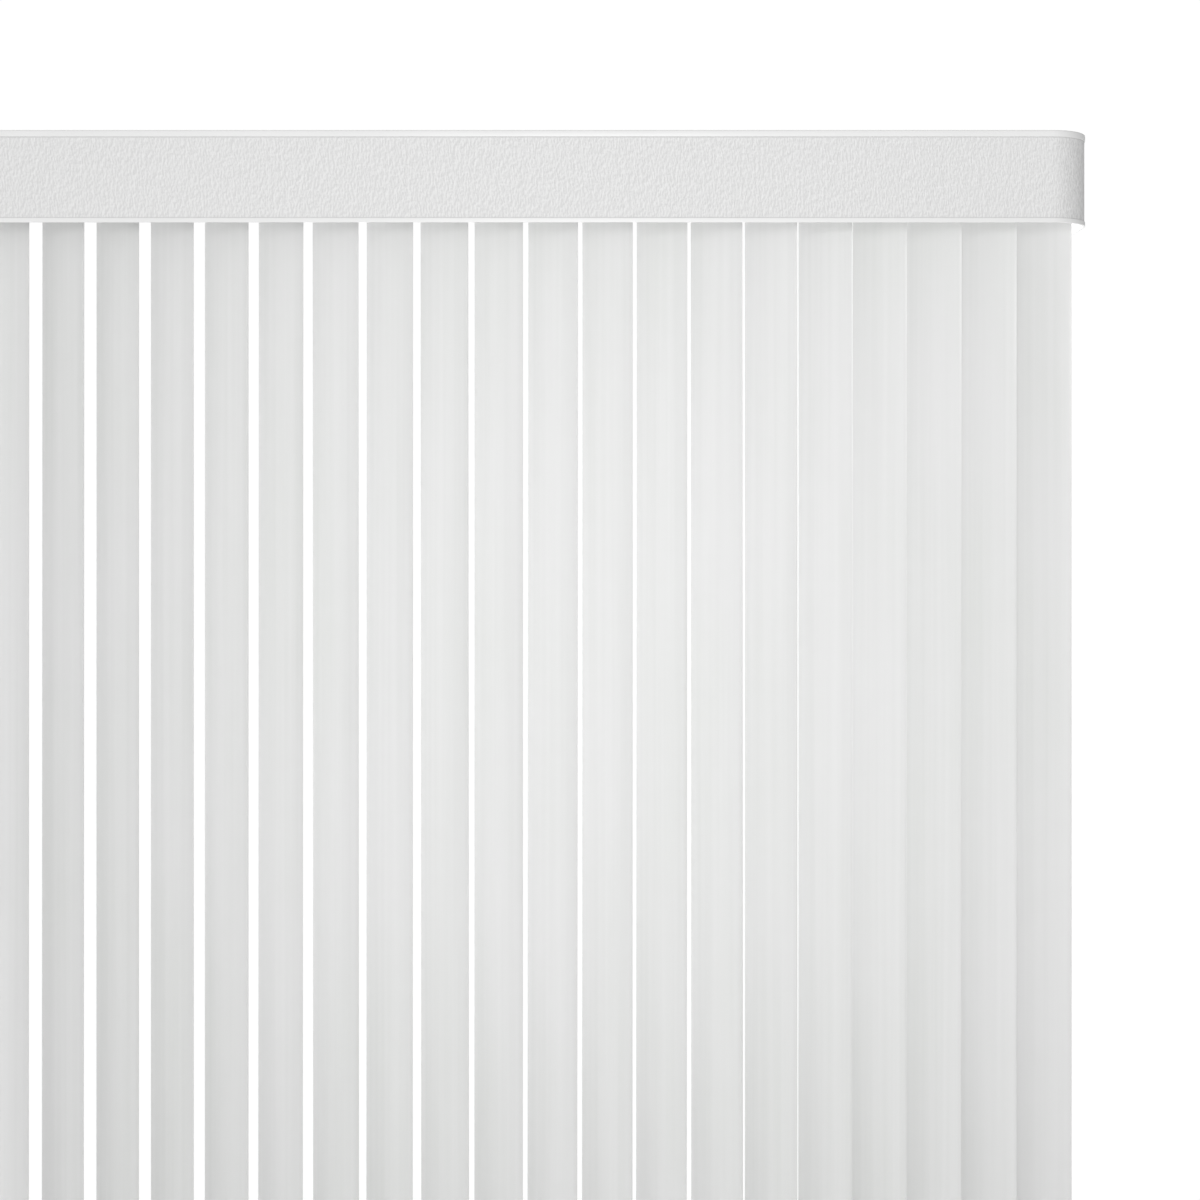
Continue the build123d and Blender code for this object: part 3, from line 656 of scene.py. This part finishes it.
def add_sleeve(number, centre_x, body, material):
    """A four-start sleeve that slides along the tilt rod inside a carrier."""
    rod_low, rod_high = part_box("tilt_rod")
    middle = (rod_low + rod_high) / 2
    bm = bmesh.new()
    loop = []
    for step in range(SLEEVE_RINGS + 1):
        share = step / SLEEVE_RINGS
        radii = []
        for turn in range(SLEEVE_TURNS):
            around = 2 * math.pi * turn / SLEEVE_TURNS
            advance = 2 * math.pi * SLEEVE_LENGTH * share / SLEEVE_LEAD
            phase = SLEEVE_STARTS * around + advance * SLEEVE_STARTS
            radii.append(SLEEVE_ROOT + (SLEEVE_TIP - SLEEVE_ROOT) * (0.5 + 0.5 * math.sin(phase)))
        loop.append(sleeve_ring(bm, centre_x + SLEEVE_LENGTH * (share - 0.5), middle, radii))
    for x in (centre_x + SLEEVE_LENGTH / 2, centre_x - SLEEVE_LENGTH / 2):
        loop.append(sleeve_ring(bm, x, middle, [SLEEVE_BORE] * SLEEVE_TURNS))
    for first, second in zip(loop, loop[1:] + loop[:1]):
        for turn in range(SLEEVE_TURNS):
            after = (turn + 1) % SLEEVE_TURNS
            bm.faces.new((first[turn], first[after], second[after], second[turn]))
    name = f"worm_sleeve_{number:02d}"
    add_piece(name, mesh_from(bm, name), body, material)


# ------------------------------------------------------------------ build the looks
vane_pvc = vane_material()
stem_plastic = moulded_material("stem_plastic", (0.80, 0.81, 0.81), 0.35)
for number in range(1, vane_count + 1):
    add_vane(number, vane_pvc)
    add_stem(number, stem_plastic)

add_valance(trim_material(), insert_material())

for number in range(1, vane_count + 1):
    # The last carrier doesn't slide, so it has no body of its own.
    body = "headrail_assembly" if number == vane_count else f"carrier_{number:02d}"
    add_sleeve(number, joints[f"tilt_{number:02d}"]["pos_m"][0], body, stem_plastic)

link_y = joints["tilt_10"]["pos_m"][1] - LINK_FORWARD
carrier_finish = carrier_material(link_y - LINK_HALF_WIDTH, link_y + LINK_HALF_WIDTH)
white_plastic = moulded_material("white_plastic", (0.87, 0.87, 0.86), 0.3)
zinc = threaded_metal("zinc_bolt", "Z", 0.7 * MM)
finishes = {
    "headrail": lacquered_material(),
    "end_cap_left": white_plastic,
    "end_cap_right": white_plastic,
    "end_cap_screws": threaded_metal("zinc_screw", "X", 0.9 * MM),
    "tilt_rod": drawn_metal("bare_aluminium", (0.78, 0.79, 0.80), 0.3, (3, 1500, 1500)),
    "carrier_stop": white_plastic,
    "rail_clips": drawn_metal("spring_steel", (0.62, 0.62, 0.63), 0.32, (1500, 4, 4)),
    "bracket_bolts": zinc,
    "bracket_nuts": zinc,
    "valance_clips": clear_material("clear_plastic", (0.93, 0.95, 0.95), 0.08),
    "wand_stem": stem_plastic,
    "wand_cross": white_plastic,
    "wand_coupler": white_plastic,
    "wand_rod": clear_material("wand_acrylic", (0.94, 0.97, 0.97), 0.05),
    "wand_grip": white_plastic,
}
powder_coat = coated_material()
# The vanes, the valance and its strip have no finish here, because pieces above stand for them.
for name, node in frame["nodes"].items():
    finish = finishes.get(name)
    if name.startswith("carrier_") and finish is None:
        finish = carrier_finish
    if name.startswith("wall_bracket"):
        finish = powder_coat
    if finish is not None:
        node.data.materials.clear()
        node.data.materials.append(finish)


# ------------------------------------------------------------------ floor, light and camera
def add_floor():
    """A round pale floor just under the vanes."""
    bm = bmesh.new()
    bmesh.ops.create_circle(bm, cap_ends=True, segments=128, radius=FLOOR_RADIUS)
    floor = bpy.data.objects.new("floor", mesh_from(bm, "floor"))
    floor.location = (0, FLOOR_CENTRE_Y, cad_low.z - FLOOR_GAP)
    floor.data.materials.append(floor_material())
    bpy.context.collection.objects.link(floor)


def add_light(name, place, target, size, power):
    """A soft white rectangular light that faces its target."""
    light = bpy.data.lights.new(name, "AREA")
    light.shape = "RECTANGLE"
    light.size = size[0]
    light.size_y = size[1]
    light.energy = power
    lamp = bpy.data.objects.new(name, light)
    lamp.location = place
    lamp.rotation_euler = (Vector(target) - Vector(place)).to_track_quat("-Z", "Y").to_euler()
    lamp.visible_camera = False
    bpy.context.collection.objects.link(lamp)


def add_sky():
    """A white surround, even to the camera, whose light is dimmer and falls off to the upper right."""
    world = bpy.data.worlds.new("studio")
    world.use_nodes = True
    bpy.context.scene.world = world
    nodes, links = world.node_tree.nodes, world.node_tree.links
    nodes.clear()
    seen = nodes.new("ShaderNodeBackground")
    seen.inputs["Color"].default_value = (1, 1, 1, 1)
    seen.inputs["Strength"].default_value = SKY_SEEN
    lit = nodes.new("ShaderNodeBackground")
    lit.inputs["Color"].default_value = (1, 1, 1, 1)
    direction = nodes.new("ShaderNodeTexCoord").outputs["Generated"]
    lean = nodes.new("ShaderNodeVectorMath")
    lean.operation = "DOT_PRODUCT"
    lean.inputs[1].default_value = SKY_FALL
    links.new(direction, lean.inputs[0])
    fall = nodes.new("ShaderNodeMapRange")
    fall.inputs["From Min"].default_value = SKY_SPAN[0]
    fall.inputs["From Max"].default_value = SKY_SPAN[1]
    fall.inputs["To Min"].default_value = SKY_LIGHT[0]
    fall.inputs["To Max"].default_value = SKY_LIGHT[1]
    links.new(lean.outputs["Value"], fall.inputs["Value"])
    links.new(fall.outputs[0], lit.inputs["Strength"])
    path = nodes.new("ShaderNodeLightPath")
    mix = nodes.new("ShaderNodeMixShader")
    out = nodes.new("ShaderNodeOutputWorld")
    links.new(path.outputs["Is Camera Ray"], mix.inputs[0])
    links.new(lit.outputs[0], mix.inputs[1])
    links.new(seen.outputs[0], mix.inputs[2])
    links.new(mix.outputs[0], out.inputs["Surface"])


def add_camera():
    """Level and square to the blind, with the frame shifted down a little."""
    data = bpy.data.cameras.new("camera")
    data.lens = LENS
    data.sensor_width = SENSOR_WIDTH
    data.shift_y = CAMERA_SHIFT
    camera = bpy.data.objects.new("camera", data)
    camera.location = CAMERA_PLACE
    camera.rotation_euler = (math.radians(90), 0, 0)
    bpy.context.collection.objects.link(camera)
    bpy.context.scene.camera = camera


add_floor()
add_sky()
add_light("key", KEY_PLACE, KEY_TARGET, KEY_SIZE, KEY_POWER)
add_light("window", WINDOW_PLACE, WINDOW_TARGET, WINDOW_SIZE, WINDOW_POWER)
add_camera()
bpy.context.scene.view_settings.view_transform = "Standard"
